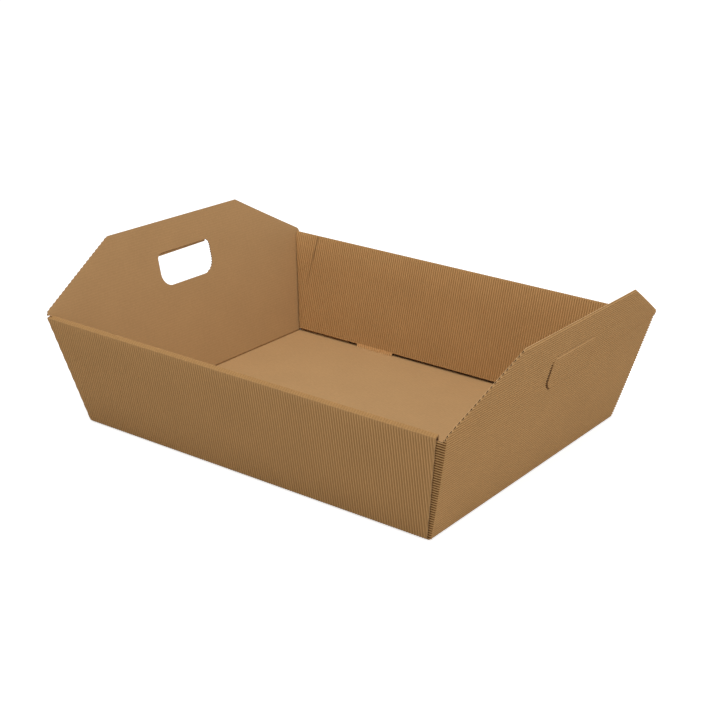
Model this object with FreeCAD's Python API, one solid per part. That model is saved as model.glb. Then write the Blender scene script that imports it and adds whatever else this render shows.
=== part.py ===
import FreeCAD, Part
import math
import os

from FreeCAD import Vector

# A gift tray folded from one die-cut sheet of single-faced ribbed card.
# Frame: X along the long walls, Y across them, Z up, and the origin under the middle of the
# floor, on the surface that the tray stands on. All lengths are in millimetres.
# The sheet is described by its smooth side, which is the upper side of the floor and the inner
# side of every wall that rises from it. Each panel then gets its thickness on the ribbed side.

# The card
card_thickness = 1.2
rib_pitch = 2.0
rib_depth = 0.5

# The floor, from crease to crease
floor_length = 298.0
floor_width = 254.0

# The long walls: an outer panel, a narrow band over the rim, and an inner panel that comes
# back down to the floor and locks there
side_tilt = 12.8
side_height = 81.5
rim_band = 2.6
rim_tilt = 30.0
inner_foot_inset = 3.4
inner_foot_gap = 1.2
side_end_gap_foot = 2.0
side_end_gap_rim = 4.6
inner_end_gap_foot = 2.0

# The end walls, one card thick, with sloping shoulders
end_tilt = 14.2
end_height = 125.5
end_top_width = 148.5
shoulder_height = 86.5
shoulder_radius = 6.0

# The corner flaps, folded from the end walls into the hollow of the long walls
flap_clearance = 0.3
flap_foot_gap = 1.5
flap_top_gap = 1.5
flap_length = 60.0
flap_taper = 8.0

# The locking tabs at the foot of each inner panel and their slots in the floor
tab_offset = 69.0
tab_width = 36.0
tab_chamfer = 0.8
tab_recess = 0.3
slot_clearance = 0.3

# The hand holes in the end walls and the flaps that were cut from them
hole_width = 60.0
hole_foot = 74.6
hole_top = 101.4
hole_shift = 3.6
hole_top_radius = 5.0
hole_foot_radius = 11.5
cut_gap = 0.3
left_flap_angle = 100.0
right_flap_angle = 0.0

half_length = floor_length / 2
half_width = floor_width / 2


def slope(angle):
    """Sine, cosine and tangent of an angle in degrees."""
    radians = math.radians(angle)
    return math.sin(radians), math.cos(radians), math.tan(radians)


side_sin, side_cos, side_tan = slope(side_tilt)
end_sin, end_cos, end_tan = slope(end_tilt)
rim_sin, rim_cos = slope(rim_tilt)[:2]


def prism(outline, direction):
    """Solid swept from a closed polygon of corner points along a vector."""
    face = Part.Face(Part.makePolygon(outline + [outline[0]]))
    return face.extrude(direction)


def plate(outline, outward):
    """Plain panel: its smooth side is the outline, its thickness is on the outward side."""
    return prism(outline, outward * card_thickness)


def ribbed_slab(reach, length, base, across, along, outward):
    """Slab of ribbed card about a base point, with ribs that run along one direction.

    reach is half its size across the ribs, length its size along them from the base point.
    The ribs are even about the base point, so that the two halves of a wall match.
    """
    count = math.ceil(reach / rib_pitch)
    crest = outward * card_thickness
    valley = outward * (card_thickness - rib_depth)
    profile = [base - across * (count * rib_pitch), base + across * (count * rib_pitch)]
    for step in range(2 * count, -2 * count - 1, -1):
        height = valley if step % 2 else crest
        profile.append(base + across * (step * rib_pitch / 2) + height)
    return prism(profile, along * length)


def fold(start, end, first, second):
    """Rounded outside of a crease from start to end, between two outward directions."""
    middle = (first + second).normalize()
    arc = Part.Arc(start + first * card_thickness, start + middle * card_thickness,
                   start + second * card_thickness)
    sides = [Part.LineSegment(start, start + first * card_thickness), arc,
             Part.LineSegment(start + second * card_thickness, start)]
    wire = Part.Wire([side.toShape() for side in sides])
    return Part.Face(wire).extrude(end - start)


def both_sides(shape, normal):
    """A shape and its mirror image across the middle plane of the tray."""
    return [shape, shape.mirror(Vector(0, 0, 0), normal)]


# Long wall on the +Y side
floor_outward = Vector(0, 0, -1)
side_along = Vector(0, side_sin, side_cos)
side_outward = Vector(0, side_cos, -side_sin)
band_along = Vector(0, -rim_cos, rim_sin)
band_outward = Vector(0, rim_sin, rim_cos)

side_foot = Vector(0, half_width, card_thickness)
rim_outer = side_foot + side_along * side_height
rim_inner = rim_outer + band_along * rim_band
inner_foot_height = card_thickness + inner_foot_gap
inner_foot = Vector(0, half_width - inner_foot_inset, inner_foot_height)
inner_along = (inner_foot - rim_inner).normalize()
inner_outward = Vector(0, inner_along.z, -inner_along.y)
inner_length = (inner_foot - rim_inner).Length


def end_plane_x(height):
    """Distance from the middle to the smooth side of the end wall at a height."""
    return half_length + (height - card_thickness) * end_tan


side_foot_reach = half_length - side_end_gap_foot
rim_reach = end_plane_x(rim_outer.z) - side_end_gap_rim
inner_foot_reach = end_plane_x(inner_foot.z) - inner_end_gap_foot


def across_x(point, reach):
    """The two points of a level line along X, through a point of the middle section."""
    return [point - Vector(reach, 0, 0), point + Vector(reach, 0, 0)]


def tapered_outline(first, first_reach, second, second_reach):
    """Four corners of a panel between two level lines along X."""
    return across_x(first, first_reach) + across_x(second, second_reach)[::-1]


def ribbed_panel(outline, middle, length, along, outward):
    """Panel of a long wall, with ribs from one of its long edges to the other."""
    reach = max(abs(corner.x) for corner in outline)
    slab = ribbed_slab(reach, length, middle, Vector(1, 0, 0), along, outward)
    return slab.common(plate(outline, outward))


def locking_tab(offset, clearance):
    """Tab below the inner panel, or with a clearance the space that it takes in the floor."""
    reach = tab_width / 2 + clearance
    depth = (inner_foot.z - tab_recess) / -inner_along.z
    if clearance:
        depth += 2 * card_thickness
    top = inner_foot + Vector(offset, 0, 0) - inner_outward * clearance
    foot = top + inner_along * depth
    chamfer = Vector(tab_chamfer, 0, 0)
    rise = inner_along * -tab_chamfer
    outline = across_x(top, reach)[::-1]
    if clearance:
        outline += across_x(foot, reach)
    else:
        left, right = across_x(foot, reach)
        outline += [left + rise, left + chamfer, right - chamfer, right + rise]
    return prism(outline, inner_outward * (card_thickness + 2 * clearance))


def long_wall():
    """Outer panel, rim band, inner panel and tabs of the wall on the +Y side."""
    outer = tapered_outline(side_foot, side_foot_reach, rim_outer, rim_reach)
    band = tapered_outline(rim_outer, rim_reach, rim_inner, rim_reach)
    inner = tapered_outline(rim_inner, rim_reach, inner_foot, inner_foot_reach)
    shapes = [
        fold(*across_x(side_foot, side_foot_reach), floor_outward, side_outward),
        ribbed_panel(outer, side_foot, side_height, side_along, side_outward),
        fold(*across_x(rim_outer, rim_reach), side_outward, band_outward),
        plate(band, band_outward),
        fold(*across_x(rim_inner, rim_reach), band_outward, inner_outward),
        ribbed_panel(inner, rim_inner, inner_length, inner_along, inner_outward),
    ]
    shapes += [locking_tab(offset, 0) for offset in (-tab_offset, tab_offset)]
    return shapes


# End wall on the +X side
end_along = Vector(end_sin, 0, end_cos)
end_outward = Vector(end_cos, 0, -end_sin)
end_foot = Vector(half_length, 0, card_thickness)
across_y = Vector(0, 1, 0)
flap_inset = (card_thickness + flap_clearance) / side_cos
flap_top = rim_outer.z - flap_top_gap
flap_foot = card_thickness + flap_foot_gap


def on_end(across, up):
    """Point on the smooth side of the end wall, from its middle and from its foot."""
    return end_foot + across_y * across + end_along * up


def corner_y(height):
    """Distance from the middle to the smooth side of a corner flap at a height."""
    return half_width - flap_inset + (height - card_thickness) * side_tan


def on_flap(x, height):
    """Point on the smooth side of the corner flap on the +Y side."""
    return Vector(x, corner_y(height), height)


def corner(height):
    """Point of the crease between the end wall and its corner flap."""
    return on_flap(end_plane_x(height), height)


def end_corners():
    """Right-hand corners of the end wall's outline, from the foot to the top, as (across, up)."""
    crease_top = (flap_top - card_thickness) / end_cos
    shoulder_z = card_thickness + shoulder_height * end_cos
    shoulder = (corner_y(shoulder_z), shoulder_height)
    top = (end_top_width / 2, end_height)
    return [(corner_y(card_thickness), 0), (corner_y(flap_top), crease_top), shoulder, top]


def rounded_shoulder(below, shoulder, above):
    """Arc in place of the shoulder corner, as three points (across, up)."""
    to_below = Vector(below[0] - shoulder[0], below[1] - shoulder[1], 0).normalize()
    to_above = Vector(above[0] - shoulder[0], above[1] - shoulder[1], 0).normalize()
    half_angle = to_below.getAngle(to_above) / 2
    point = Vector(shoulder[0], shoulder[1], 0)
    reach = shoulder_radius / math.tan(half_angle)
    to_middle = (to_below + to_above).normalize()
    centre = point + to_middle * (shoulder_radius / math.sin(half_angle))
    arc = [point + to_below * reach, centre - to_middle * shoulder_radius,
           point + to_above * reach]
    return [(spot.x, spot.y) for spot in arc]


def end_outline():
    """Face on the smooth side of the end wall, with rounded shoulders."""
    foot, crease_top, shoulder, top = end_corners()
    arc = rounded_shoulder(crease_top, shoulder, top)
    edges = []
    for side in (1, -1):
        def spot(pair):
            return on_end(side * pair[0], pair[1])
        edges += [
            Part.LineSegment(spot(foot), spot(crease_top)),
            Part.LineSegment(spot(crease_top), spot(arc[0])),
            Part.Arc(*[spot(pair) for pair in arc]),
            Part.LineSegment(spot(arc[2]), spot(top)),
        ]
    edges.append(Part.LineSegment(on_end(-foot[0], 0), on_end(foot[0], 0)))
    edges.append(Part.LineSegment(on_end(-top[0], end_height), on_end(top[0], end_height)))
    return Part.Face(Part.Wire(Part.__sortEdges__([edge.toShape() for edge in edges])))


def hole_prism(gap):
    """Space of the hand hole through the end wall, made smaller all round by a gap."""
    left = hole_shift - hole_width / 2 + gap
    right = hole_shift + hole_width / 2 - gap
    foot = hole_foot + gap
    top = hole_top - gap
    foot_radius = hole_foot_radius - gap
    top_radius = hole_top_radius - gap
    outline = [on_end(left, foot), on_end(right, foot), on_end(right, top), on_end(left, top)]
    block = prism(outline, end_outward * (3 * card_thickness))
    block.translate(end_outward * -card_thickness)
    for up, radius in ((foot, foot_radius), (top, top_radius)):
        corners = [edge for edge in block.Edges if is_through(edge) and is_level(edge, up)]
        block = block.makeFillet(radius, corners)
    return block


def is_through(edge):
    """Whether an edge is straight and runs through the thickness of the end wall."""
    if not isinstance(edge.Curve, Part.Line):
        return False
    return abs(edge.Curve.Direction.dot(end_outward)) > 0.999


def is_level(edge, up):
    """Whether an edge lies at a distance up the slope of the end wall."""
    rise = (edge.CenterOfMass - end_foot).dot(end_along)
    return abs(rise - up) < card_thickness / 2


def end_card():
    """The whole card of the end wall before its hand hole is cut, with level ribs outside."""
    reach = half_width + end_height
    slab = ribbed_slab(end_height, 2 * reach, on_end(-reach, 0), end_along, across_y, end_outward)
    outline = end_outline().extrude(end_outward * card_thickness)
    return slab.common(outline)


def corner_flap():
    """Flap at the +Y edge of the end wall, and the rounded corner that joins them."""
    foot_x = end_plane_x(flap_foot)
    outline = [
        corner(flap_foot),
        corner(flap_top),
        on_flap(end_plane_x(flap_top) - flap_length, flap_top),
        on_flap(foot_x - flap_length + flap_taper, flap_foot),
    ]
    return [plate(outline, side_outward),
            fold(corner(flap_foot), corner(flap_top), end_outward, side_outward)]


def end_wall():
    """End wall with its hand hole, its floor crease and both corner flaps."""
    reach = across_y * corner_y(card_thickness)
    shapes = [fold(end_foot - reach, end_foot + reach, floor_outward, end_outward)]
    shapes.append(end_card().cut(hole_prism(0)))
    for shape in corner_flap():
        shapes += both_sides(shape, Vector(0, 1, 0))
    return shapes


def floor():
    """Floor with the four slots that hold the tabs of the inner panels."""
    plane = Part.makePlane(floor_length, floor_width, Vector(-half_length, -half_width, 0))
    card = plane.extrude(Vector(0, 0, card_thickness))
    for offset in (-tab_offset, tab_offset):
        for slot in both_sides(locking_tab(offset, slot_clearance), Vector(0, 1, 0)):
            card = card.cut(slot)
    return card


def tray_sheet():
    """The whole folded sheet as one solid, without the two flaps of its hand holes."""
    shapes = [floor()]
    for shape in long_wall():
        shapes += both_sides(shape, Vector(0, 1, 0))
    for shape in end_wall():
        shapes += both_sides(shape, Vector(1, 0, 0))
    return shapes[0].multiFuse(shapes[1:])


def hand_flap(angle):
    """Flap of the +X hand hole, swung outwards by an angle about its upper edge on the ribbed side."""
    card = end_card().common(hole_prism(cut_gap))
    hinge = on_end(0, hole_top - cut_gap) + end_outward * card_thickness
    card.rotate(hinge, across_y, -angle)
    return card


def write(name, shape):
    """Write one node as parts/NAME.step."""
    shape.exportStep(os.path.join("parts", name + ".step"))
    print(name, len(shape.Solids), "solid, volume", round(shape.Volume), "valid", shape.isValid())


os.makedirs("parts", exist_ok=True)
write("tray_sheet", tray_sheet())
write("right_hand_flap", hand_flap(right_flap_angle))
write("left_hand_flap", hand_flap(left_flap_angle).mirror(Vector(0, 0, 0), Vector(1, 0, 0)))
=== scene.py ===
"""Looks of a gift tray folded from one sheet of ribbed card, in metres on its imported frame."""

import logging
import math
from dataclasses import dataclass, field, replace
from enum import Enum

import bpy
import numpy as np
from mathutils import Matrix, Vector


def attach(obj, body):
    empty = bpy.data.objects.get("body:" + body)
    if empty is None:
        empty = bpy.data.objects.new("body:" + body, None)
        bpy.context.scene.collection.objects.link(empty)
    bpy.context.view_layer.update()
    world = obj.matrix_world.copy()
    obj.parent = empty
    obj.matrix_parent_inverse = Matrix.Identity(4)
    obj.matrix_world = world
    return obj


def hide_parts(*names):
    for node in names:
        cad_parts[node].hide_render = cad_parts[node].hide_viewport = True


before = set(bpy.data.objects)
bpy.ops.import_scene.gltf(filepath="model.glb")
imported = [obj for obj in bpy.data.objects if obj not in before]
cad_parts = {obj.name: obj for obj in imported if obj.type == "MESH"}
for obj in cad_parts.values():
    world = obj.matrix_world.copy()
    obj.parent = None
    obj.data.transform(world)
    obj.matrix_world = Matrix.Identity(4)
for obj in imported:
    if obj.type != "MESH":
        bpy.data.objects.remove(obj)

MM = 0.001
FIBRE_RELIEF = 0.06 * MM
ROUNDING = 1e-6
LOG = logging.getLogger("tray")


class Layer(Enum):
    """The papers of the card, and the cut edge of either."""

    LINER = 0
    RIBS = 1
    CUT = 2


class End(Enum):
    """An end of the tray, by the sign of X."""

    LEFT = -1
    RIGHT = 1


class Side(Enum):
    """A long side of the tray, by the sign of Y."""

    FRONT = -1
    BACK = 1


def turned(angle: float) -> np.ndarray:
    """Unit vector at an angle in degrees from the first axis of a plane."""
    return np.array([math.cos(math.radians(angle)), math.sin(math.radians(angle))])


def merged_axis(*groups: np.ndarray) -> np.ndarray:
    """Sorted positions of all groups, without repeats closer than a thousandth of a millimetre.

    Args:
        groups: Positions in millimetres.

    Returns:
        One rising array.
    """
    values = np.sort(np.concatenate([np.atleast_1d(group) for group in groups]))
    keep = np.concatenate([[True], np.diff(values) > 1e-3])
    return values[keep]


@dataclass(frozen=True)
class Card:
    """Single-faced ribbed card: a smooth liner with a wavy paper glued to its outer side.

    Lengths are in millimetres. Painted shade on the hidden insides of the open flutes is set as
    a depth, where a valley is 1.
    """

    thickness: float = 1.2
    liner: float = 0.25
    paper: float = 0.2
    pitch: float = 2.0
    bond: float = 0.02
    steps: int = 6
    hollow_shade_depth: float = 1.4

    @property
    def valley(self) -> float:
        """Height of the valleys of the ribbed side above the smooth side."""
        return self.liner + self.paper - self.bond

    def heights(self, across: np.ndarray, fullness: np.ndarray) -> np.ndarray:
        """Height of the ribbed side above the smooth side.

        Args:
            across: Distance across the ribs in millimetres.
            fullness: 1 where the ribs are whole, less where a crease has crushed them.

        Returns:
            Heights in millimetres.
        """
        wave = 0.5 + 0.5 * np.cos(2 * math.pi * across / self.pitch)
        return self.valley + (self.thickness - self.valley) * fullness * wave

    def rib_steps(self, low: float, high: float) -> np.ndarray:
        """Positions across the ribs that follow every rib.

        Args:
            low: Where they begin, in millimetres.
            high: Where they end.

        Returns:
            A rising array.
        """
        step = self.pitch / self.steps
        first, last = math.ceil(low / step), math.floor(high / step)
        return np.arange(first, last + 1) * step


@dataclass(frozen=True)
class Tray:
    """Sizes of the folded tray in millimetres and degrees."""

    floor_length: float = 298.0
    floor_width: float = 254.0
    side_tilt: float = 12.8
    side_height: float = 81.5
    rim_band: float = 2.6
    rim_tilt: float = 30.0
    inner_foot_inset: float = 3.4
    inner_foot_gap: float = 1.2
    side_end_gap_foot: float = 2.0
    side_end_gap_rim: float = 4.6
    inner_end_gap_foot: float = 2.0
    end_tilt: float = 14.2
    end_height: float = 125.5
    end_top_width: float = 148.5
    shoulder_height: float = 86.5
    shoulder_radius: float = 6.0
    flap_clearance: float = 0.3
    flap_top_gap: float = 1.5
    flap_length: float = 60.0
    flap_taper: float = 8.0
    tab_offset: float = 69.0
    tab_width: float = 36.0
    tab_recess: float = 0.3
    slot_clearance: float = 0.3
    hole_width: float = 60.0
    hole_foot: float = 74.6
    hole_top: float = 101.4
    hole_shift: float = 3.6
    hole_top_radius: float = 5.0
    hole_foot_radius: float = 11.5
    cut_gap: float = 0.3
    left_flap_angle: float = 100.0
    right_flap_angle: float = 0.0
    groove: float = 0.4
    groove_reach: float = 0.7
    card: Card = field(default_factory=Card)

    @property
    def half_length(self) -> float:
        """Half the length of the floor between its creases."""
        return self.floor_length / 2

    @property
    def half_width(self) -> float:
        """Half the width of the floor between its creases."""
        return self.floor_width / 2

    def end_x(self, height: np.ndarray) -> np.ndarray:
        """Distance from the middle to the smooth side of an end wall at a height."""
        rise = height - self.card.thickness
        return self.half_length + rise * math.tan(math.radians(self.end_tilt))

    def corner_y(self, height: np.ndarray) -> np.ndarray:
        """Distance from the middle to the smooth side of a corner flap.

        Args:
            height: Height above the table.

        Returns:
            Distance along Y.
        """
        tilt = math.radians(self.side_tilt)
        inset = (self.card.thickness + self.flap_clearance) / math.cos(tilt)
        return self.half_width - inset + (height - self.card.thickness) * math.tan(tilt)

    def end_level(self, up: np.ndarray) -> np.ndarray:
        """Height above the table of a distance up the slope of an end wall."""
        return self.card.thickness + up * math.cos(math.radians(self.end_tilt))

    def dip(self, distance: np.ndarray) -> np.ndarray:
        """Depth of the pressed groove at a distance from a crease, on the smooth side."""
        return self.groove * np.clip(1 - np.abs(distance) / self.groove_reach, 0, 1)


@dataclass
class PieceMesh:
    """Closed shells of card paper gathered into one piece."""

    points: list = field(default_factory=list)
    flats: list = field(default_factory=list)
    quads: list = field(default_factory=list)
    layers: list = field(default_factory=list)
    smooths: list = field(default_factory=list)
    count: int = 0

    def add_shell(self, outer: np.ndarray, inner: np.ndarray, flats: tuple, layer: Layer,
                  keep: np.ndarray | None = None) -> None:
        """Adds a closed sheet between two grids of points.

        Args:
            outer: Grid of points on the outward side, rows by columns by 3, in millimetres.
            inner: The same grid on the other side.
            flats: For the outer and the inner grid, the place of each point on the flat sheet,
            across and along the ribs, and the depth in a valley or a hollow that sets its painted
            shade.
            layer: The paper that the shell is.
            keep: Cells of the grid that hold paper, all of them if None.
        """
        rows, columns = outer.shape[:2]
        if keep is None:
            keep = np.ones((rows - 1, columns - 1), bool)
        index = np.arange(rows * columns).reshape(rows, columns)
        under = index + rows * columns
        a, b, c, d = index[:-1, :-1], index[1:, :-1], index[1:, 1:], index[:-1, 1:]
        top = np.stack([a, b, c, d], -1)[keep]
        low = top[:, ::-1] + rows * columns
        walls = []
        padded = np.pad(keep, 1)
        for beside, first, second in (
            (padded[1:-1, :-2], a, b), (padded[2:, 1:-1], b, c),
            (padded[1:-1, 2:], c, d), (padded[:-2, 1:-1], d, a),
        ):
            bare = keep & ~beside
            start, end = first[bare], second[bare]
            walls.append(np.stack([end, start, under.flat[start], under.flat[end]], -1))
        walls = np.concatenate(walls)
        points = np.concatenate([outer.reshape(-1, 3), inner.reshape(-1, 3)])
        edge = points[top[:, 2]] - points[top[:, 0]]
        cross = np.cross(edge, points[top[:, 3]] - points[top[:, 1]])
        outward = points[top[:, 0]] - points[top[:, 0] + rows * columns]
        if (cross * outward).sum() < 0:
            top, low, walls = top[:, ::-1], low[:, ::-1], walls[:, ::-1]
        quads = np.concatenate([top, low, walls])
        layers = np.full(len(quads), layer.value)
        layers[len(top) + len(low):] = Layer.CUT.value
        smooth = np.ones(len(quads), bool)
        smooth[len(top) + len(low):] = False
        places = np.concatenate([flat.reshape(-1, 3) for flat in flats])
        self._append(points, places, quads, layers, smooth)

    def _append(self, points: np.ndarray, flat: np.ndarray, quads: np.ndarray,
                layers: np.ndarray, smooth: np.ndarray) -> None:
        """Joins points of one shell that coincide and keeps the faces that still have an area.

        Args:
            points: Points in millimetres.
            flat: Place of each point on the flat sheet, with its depth.
            quads: Four point numbers for each face.
            layers: Layer number of each face.
            smooth: Whether each face is shaded smoothly.
        """
        used = np.unique(quads)
        _, first, back = np.unique(np.round(points[used], 4), axis=0, return_index=True,
                                   return_inverse=True)
        place = np.zeros(len(points), int)
        place[used] = back.reshape(-1)
        quads = place[quads]
        sides = quads != np.roll(quads, -1, axis=1)
        whole = sides.sum(1) >= 3
        crossed = (quads[:, 0] == quads[:, 2]) | (quads[:, 1] == quads[:, 3])
        whole &= ~crossed
        self.points.append(points[used][first])
        self.flats.append(flat[used][first])
        self.quads.append(quads[whole] + self.count)
        self.layers.append(layers[whole])
        self.smooths.append(smooth[whole])
        self.count += len(first)

    def to_object(self, name: str, materials: list) -> bpy.types.Object:
        """Makes the Blender object of the gathered shells.

        Args:
            name: Name of the piece.
            materials: One material for each Layer, in its order.

        Returns:
            The new object, linked to the scene.
        """
        points = np.concatenate(self.points) * MM
        quads = np.concatenate(self.quads)
        faces = [list(dict.fromkeys(quad)) for quad in quads.tolist()]
        mesh = bpy.data.meshes.new(name)
        mesh.from_pydata(points.tolist(), [], faces)
        for material in materials:
            mesh.materials.append(material)
        mesh.polygons.foreach_set("material_index", np.concatenate(self.layers).astype(np.int32))
        mesh.polygons.foreach_set("use_smooth", np.concatenate(self.smooths))
        flat = mesh.attributes.new("card_place", "FLOAT_VECTOR", "POINT")
        flat.data.foreach_set("vector", np.concatenate(self.flats).astype(np.float32).ravel())
        self._sharpen(mesh)
        mesh.update()
        piece = bpy.data.objects.new(name, mesh)
        bpy.context.collection.objects.link(piece)
        return piece

    @staticmethod
    def _sharpen(mesh: bpy.types.Mesh) -> None:
        """Marks every edge of a flat-shaded face as sharp.

        Args:
            mesh: The mesh, whose faces are already marked smooth or flat.
        """
        edges = np.empty(len(mesh.loops), np.int32)
        mesh.loops.foreach_get("edge_index", edges)
        totals = np.empty(len(mesh.polygons), np.int32)
        mesh.polygons.foreach_get("loop_total", totals)
        smooth = np.empty(len(mesh.polygons), bool)
        mesh.polygons.foreach_get("use_smooth", smooth)
        sharp = np.zeros(len(mesh.edges), bool)
        sharp[edges[np.repeat(~smooth, totals)]] = True
        mark = mesh.attributes.new("sharp_edge", "BOOLEAN", "EDGE")
        mark.data.foreach_set("value", sharp)


@dataclass(frozen=True)
class CreaseShadeLine:
    """Painted shade of a fine crease pressed into a paper, in millimetres on the flat sheet.

    It starts at the place across and along the ribs, moves across them by its slope, and fades
    over its length.
    """

    across: float
    along: float
    slope: float
    length: float
    half_width: float = 0.85
    darkness: float = 0.7


@dataclass
class NodeKit:
    """Adds nodes to one material."""

    nodes: bpy.types.Nodes
    links: bpy.types.NodeLinks

    def feed(self, socket: bpy.types.NodeSocket, value: object) -> None:
        """Gives an input its value.

        Args:
            socket: The input.
            value: An output that is linked to it, or the value itself.
        """
        if isinstance(value, bpy.types.NodeSocket):
            self.links.new(value, socket)
        else:
            socket.default_value = value

    def noise(self, vector: bpy.types.NodeSocket, scale: float,
              detail: float) -> bpy.types.NodeSocket:
        """Adds a noise texture.

        Args:
            vector: Place in millimetres.
            scale: Cells of the noise per millimetre.
            detail: Number of finer layers.

        Returns:
            The noise, from 0 to 1.
        """
        noise = self.nodes.new("ShaderNodeTexNoise")
        self.feed(noise.inputs["Scale"], scale)
        self.feed(noise.inputs["Detail"], detail)
        self.feed(noise.inputs["Vector"], vector)
        return noise.outputs["Fac"]

    def ranged(self, value: bpy.types.NodeSocket, start: float, end: float, low: float = 0.0,
               high: float = 1.0) -> bpy.types.NodeSocket:
        """Moves a value from one range to another, and no further than its ends.

        Args:
            value: The value.
            start: Result at the low end.
            end: Result at the high end.
            low: Low end of the value.
            high: High end of the value.

        Returns:
            The moved value.
        """
        change = self.nodes.new("ShaderNodeMapRange")
        for name, number in (("From Min", low), ("From Max", high), ("To Min", start),
                             ("To Max", end), ("Value", value)):
            self.feed(change.inputs[name], number)
        return change.outputs["Result"]

    def math(self, operation: str, first: bpy.types.NodeSocket,
             second: object = 0.0) -> bpy.types.NodeSocket:
        """Adds one Math node.

        Args:
            operation: Name of the operation.
            first: First operand.
            second: Second operand, a socket or a number, where there is one.

        Returns:
            The result.
        """
        node = self.nodes.new("ShaderNodeMath")
        node.operation = operation
        self.feed(node.inputs[0], first)
        self.feed(node.inputs[1], second)
        return node.outputs[0]

    def vector(self, operation: str, first: object, second: object) -> bpy.types.NodeSocket:
        """Adds one Vector Math node.

        Args:
            operation: Name of the operation.
            first: First operand, a socket or three numbers.
            second: Second operand, for SCALE the factor.

        Returns:
            The result.
        """
        node = self.nodes.new("ShaderNodeVectorMath")
        node.operation = operation
        self.feed(node.inputs[0], first)
        self.feed(node.inputs["Scale"] if operation == "SCALE" else node.inputs[1], second)
        return node.outputs["Vector"]


@dataclass(frozen=True)
class KraftFinish:
    """Uncoated brown kraft paper, with fibres, clouds, faint glue lines of the ribs, and painted
    shade and highlight from the depth in valleys, grooves, hollows and marks, and along a pressed
    crease.
    """

    name: str
    colour: tuple = (0.447, 0.266, 0.117)
    fibre: float = 0.10
    mottle: float = 0.07
    cloud: float = 0.06
    stripe: float = 0.0
    # Strength of the painted shade in valleys, grooves, hollows and marks.
    shade: float = 0.0
    roughness: float = 0.88
    relief: float = 0.25
    line: CreaseShadeLine | None = None
    specular: float = 0.25
    fibre_stretch: tuple = (1.0, 0.45, 1.0)
    fibre_scale: float = 1.7
    mottle_scale: float = 0.38
    cloud_scale: float = 0.03
    # How warm the painted shade gets, and the darkest it may paint.
    warmth: tuple = (1.0, 1.1, 1.3)
    darkest: tuple = (0.2, 0.15, 0.09)

    def material(self) -> bpy.types.Material:
        """Builds the node material of this finish.

        Returns:
            The new material.
        """
        material = bpy.data.materials.new(self.name)
        material.use_nodes = True
        nodes = material.node_tree.nodes
        kit = NodeKit(nodes, material.node_tree.links)
        shader = nodes["Principled BSDF"]
        kit.feed(shader.inputs["Roughness"], self.roughness)
        kit.feed(shader.inputs["Specular IOR Level"], self.specular)
        place = nodes.new("ShaderNodeAttribute")
        place.attribute_name = "card_place"
        stretch = nodes.new("ShaderNodeMapping")
        kit.feed(stretch.inputs["Scale"], self.fibre_stretch)
        kit.feed(stretch.inputs["Vector"], place.outputs["Vector"])
        fibres = kit.noise(stretch.outputs["Vector"], self.fibre_scale, 4.0)
        tone = kit.ranged(fibres, 1 - self.fibre, 1 + self.fibre)
        for scale, detail, amount in ((self.mottle_scale, 2.0, self.mottle),
                                      (self.cloud_scale, 3.0, self.cloud)):
            spots = kit.noise(place.outputs["Vector"], scale, detail)
            tone = kit.math("MULTIPLY", tone, kit.ranged(spots, 1 - amount, 1 + amount))
        split = nodes.new("ShaderNodeSeparateXYZ")
        kit.feed(split.inputs["Vector"], place.outputs["Vector"])
        if self.stripe:
            tone = kit.math("MULTIPLY", tone, self._stripes(kit, split.outputs["X"]))
        # Painted shade along the pressed crease.
        if self.line:
            tone = kit.math("MULTIPLY", tone, self._crease_shade(kit, split))
        colour = kit.vector("SCALE", self.colour, tone)
        # Painted shade and highlight from the depth carried in the card_place attribute.
        if self.shade:
            colour = self._painted_shade(kit, colour, split.outputs["Z"])
        kit.feed(shader.inputs["Base Color"], colour)
        bump = nodes.new("ShaderNodeBump")
        kit.feed(bump.inputs["Strength"], self.relief)
        kit.feed(bump.inputs["Distance"], FIBRE_RELIEF)
        kit.feed(bump.inputs["Height"], fibres)
        kit.feed(shader.inputs["Normal"], bump.outputs["Normal"])
        return material

    def _painted_shade(self, kit: NodeKit, colour: bpy.types.NodeSocket,
                  depth: bpy.types.NodeSocket) -> bpy.types.NodeSocket:
        """Paints shade into a colour: darker and warmer with the depth in a valley, groove, hollow
        or mark, lighter where a mark is below 0.

        Args:
            kit: Adds the nodes.
            colour: The colour of the paper where it isn't deep.
            depth: Amount of painted shade, 0 on a crest and 1 in a valley or groove, below 0 a
                painted highlight.

        Returns:
            The changed colour.
        """
        lost = kit.vector("SCALE", tuple(-self.shade * part for part in self.warmth), depth)
        kept = kit.vector("ADD", lost, (1, 1, 1))
        return kit.vector("MULTIPLY", kit.vector("MAXIMUM", kept, self.darkest), colour)

    def _crease_shade(self, kit: NodeKit, split: bpy.types.Node) -> bpy.types.NodeSocket:
        """Paints the shade of the pressed crease as a dark line, which fades towards its lower end.

        Args:
            kit: Adds the nodes.
            split: Node that gives the place on the flat sheet as X and Y.

        Returns:
            Tone, 1 beside the line and less on it.
        """
        line, along = self.line, split.outputs["Y"]
        shift = kit.math("MULTIPLY", along, -line.slope)
        place = kit.math("ADD", split.outputs["X"], shift)
        beside = kit.math("ADD", place, line.slope * line.along - line.across)
        near = kit.ranged(kit.math("ABSOLUTE", beside), 1, 0, 0, line.half_width)
        fade = kit.ranged(along, line.darkness, 0, line.along, line.along + line.length)
        begun = kit.ranged(along, 0, 1, line.along, line.along + 1)
        amount = kit.math("MULTIPLY", near, kit.math("MULTIPLY", fade, begun))
        return kit.ranged(amount, 1, 0)

    def _stripes(self, kit: NodeKit, across: bpy.types.NodeSocket) -> bpy.types.NodeSocket:
        """Draws faint darker lines where the ribs are glued behind the liner.

        Args:
            kit: Adds the nodes.
            across: Place across the ribs.

        Returns:
            Tone, 1 on average.
        """
        turn = kit.math("MULTIPLY", across, 2 * math.pi / Card().pitch)
        return kit.ranged(kit.math("COSINE", turn), 1 - self.stripe, 1 + self.stripe, low=-1)


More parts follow.
